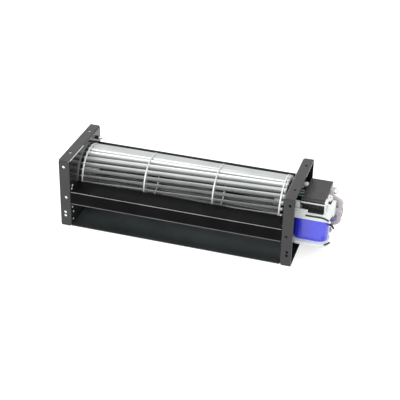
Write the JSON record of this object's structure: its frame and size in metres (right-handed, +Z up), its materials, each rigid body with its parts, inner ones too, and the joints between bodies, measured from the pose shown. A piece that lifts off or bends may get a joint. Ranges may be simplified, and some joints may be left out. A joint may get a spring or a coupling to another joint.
{
  "type": "cross flow fan",
  "caption": "Cross flow fan with a long drum of skewed blades between two folded end plates, a rolled scroll, a folded tongue, and a shaded-pole motor on one end",
  "frame": {"origin": "under the middle of the whole fan's box, on the underside of the end plates", "axes": "+X along the drum towards the motor, +Y from the outlet side to the back, +Z up"},
  "size_m": [0.3268, 0.1, 0.088],
  "materials": {
    "casing_black": "gloss black enamel on steel sheet",
    "blade_aluminium": "bright rolled sheet",
    "disc_aluminium": "stamped sheet",
    "hub_steel": "turned",
    "shaft_steel": "ground",
    "fixing_steel": "zinc plated",
    "stack_steel": "laminated steel, dark dipped",
    "armature_steel": "laminated steel with a cast cage",
    "bracket_aluminium": "die cast",
    "bearing_bronze": "sintered, oiled",
    "shading_copper": "bare copper bar",
    "bobbin_white": "moulded nylon",
    "coil_blue": "wound wire under tape and varnish",
    "lead_black": "sleeving",
    "rubber_black": "moulded",
    "bush_green": "moulded, slightly glossy"
  },
  "bodies": {
    "housing": {"right_end_plate": "casing_black", "left_end_plate": "casing_black", "scroll_casing": "casing_black", "tongue_plate": "casing_black", "web_stud": "fixing_steel", "stud_grommet": "rubber_black", "left_mount_ring": "rubber_black", "stator_stack": "stack_steel", "core_bar": "stack_steel", "bobbin": "bobbin_white", "coil": "coil_blue", "coil_leads": "lead_black", "damping_bush": "bush_green", "outer_bracket": "bracket_aluminium", "inner_bracket": "bracket_aluminium", "left_bearing": "bearing_bronze", "inner_bearing": "bearing_bronze", "outer_bearing": "bearing_bronze", "terminals": "fixing_steel", "upper_shading_ring": "shading_copper", "lower_shading_ring": "shading_copper", "motor_screws": "fixing_steel", "motor_nuts": "fixing_steel", "motor_spacers": "fixing_steel"},
    "rotor": {"blade_01": "blade_aluminium", "blade_02": "blade_aluminium", "blade_03": "blade_aluminium", "blade_04": "blade_aluminium", "blade_05": "blade_aluminium", "blade_06": "blade_aluminium", "blade_07": "blade_aluminium", "blade_08": "blade_aluminium", "blade_09": "blade_aluminium", "blade_10": "blade_aluminium", "blade_11": "blade_aluminium", "blade_12": "blade_aluminium", "blade_13": "blade_aluminium", "blade_14": "blade_aluminium", "blade_15": "blade_aluminium", "blade_16": "blade_aluminium", "blade_17": "blade_aluminium", "blade_18": "blade_aluminium", "blade_19": "blade_aluminium", "blade_20": "blade_aluminium", "blade_21": "blade_aluminium", "blade_22": "blade_aluminium", "blade_23": "blade_aluminium", "blade_24": "blade_aluminium", "blade_25": "blade_aluminium", "blade_26": "blade_aluminium", "middle_ring_1": "disc_aluminium", "middle_ring_2": "disc_aluminium", "left_end_disc": "disc_aluminium", "right_end_disc": "disc_aluminium", "left_hub": "hub_steel", "right_hub": "hub_steel", "left_stub_shaft": "shaft_steel", "motor_shaft": "shaft_steel", "armature": "armature_steel"}
  },
  "joints": [
    {"name": "rotor_spin", "type": "hinge", "parent": "housing", "child": "rotor", "pos_m": [0, 0.0131, 0.0455], "axis": [1, 0, 0], "continuous": true}
  ]
}
